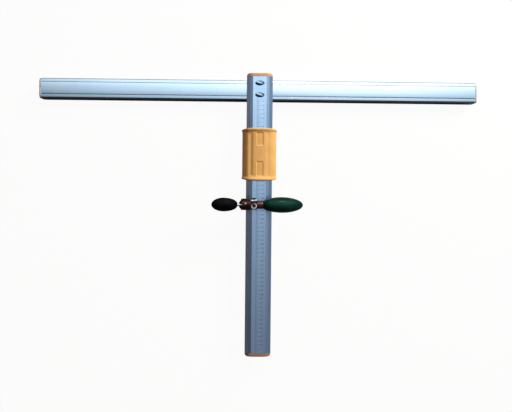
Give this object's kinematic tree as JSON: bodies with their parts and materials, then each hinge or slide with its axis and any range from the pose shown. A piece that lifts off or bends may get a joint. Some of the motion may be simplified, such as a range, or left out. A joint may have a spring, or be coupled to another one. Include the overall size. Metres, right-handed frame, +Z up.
{
  "type": "cutting ruler",
  "caption": "T-shaped cutting ruler: a graduated hollow bar bolted across a longer fence, with a sliding hand grip and a clamped cutting carriage with two side handles.",
  "frame": {"origin": "middle of the fence's underside, where the object rests, below the crossing of the two bars", "axes": "+Z up, out of the scale's face; +X along the fence, towards the green handle; the ruler bar runs from the fence towards -Y"},
  "size_m": [1.057, 0.676, 0.0852],
  "materials": {
    "bar_aluminium": "satin, with fine drawing lines",
    "scale_aluminium": "satin",
    "fence_aluminium": "satin",
    "cap_orange": "matt",
    "cap_grey": "matt",
    "screw_blued": "blued and polished",
    "steel": "turned",
    "spring_steel": "rolled",
    "grip_yellow": "silky",
    "bronze_dark": "patinated",
    "ferrule_brown": "satin",
    "bright_steel": "polished",
    "bearing_bronze": "turned",
    "nylon": "matt",
    "handle_green": "polished",
    "knob_black": "polished",
    "wheel_steel": "hardened and ground"
  },
  "bodies": {
    "bars": {"ruler_bar": "bar_aluminium", "scale_strip": "scale_aluminium", "top_end_cap": "cap_orange", "bottom_end_cap": "cap_orange", "fence_bar": "fence_aluminium", "fence_cap_left": "cap_grey", "fence_cap_right": "cap_grey", "fence_screws": "screw_blued", "spacer_tubes": "steel", "nut_plate": "steel"},
    "grip": {"grip_top_shell": "grip_yellow", "grip_bottom_shell": "grip_yellow", "grip_screws": "steel", "grip_leaf_spring": "spring_steel"},
    "carriage": {"carriage_body": "bronze_dark", "back_plate": "bronze_dark", "back_plate_screws": "steel", "glide_pads": "nylon", "index_plate": "bright_steel", "index_screws": "steel", "cover_screw": "bright_steel", "spindle_brake_screw": "bright_steel", "post_set_screw": "steel", "handle_bolt": "steel", "handle_ferrule": "ferrule_brown"},
    "handle": {"handle_grip": "handle_green", "handle_end_plug": "handle_green"},
    "clamp": {"clamp_knob": "knob_black", "clamp_spindle": "bright_steel"},
    "shoe": {"clamp_shoe": "bearing_bronze"},
    "post": {"cutter_post": "steel", "holder_pin": "steel"},
    "holder": {"wheel_holder": "steel", "wheel_axle": "steel"},
    "wheel": {"cutting_wheel": "wheel_steel"}
  },
  "joints": [
    {"name": "grip_slide", "type": "slide", "parent": "bars", "child": "grip", "axis": [0, 1, 0], "range_m": [-0.02, 0.06]},
    {"name": "carriage_slide", "type": "slide", "parent": "bars", "child": "carriage", "axis": [0, 1, 0], "range_m": [-0.335, 0.012]},
    {"name": "clamp_turn", "type": "hinge", "parent": "carriage", "child": "clamp", "pos_m": [-0.08, -0.2745, 0.067], "axis": [1, 0, 0], "range_deg": [0, 270]},
    {"name": "shoe_press", "type": "slide", "parent": "carriage", "child": "shoe", "axis": [0, 0, -1], "range_m": [0, 0.0006]},
    {"name": "handle_turn", "type": "hinge", "parent": "carriage", "child": "handle", "pos_m": [0.0525, -0.2745, 0.067], "axis": [1, 0, 0], "continuous": true},
    {"name": "post_height", "type": "slide", "parent": "carriage", "child": "post", "axis": [0, 0, 1], "range_m": [0, 0.012]},
    {"name": "holder_swivel", "type": "hinge", "parent": "post", "child": "holder", "pos_m": [-0.0402, -0.2745, 0.005], "axis": [0, 0, 1], "range_deg": [-15, 15]},
    {"name": "wheel_turn", "type": "hinge", "parent": "holder", "child": "wheel", "pos_m": [-0.0402, -0.2745, 0.005], "axis": [0, 1, 0], "continuous": true}
  ],
  "couplings": [
    {"joint": "shoe_press", "follows": "clamp_turn", "m_per_rad": 0.00012732}
  ]
}
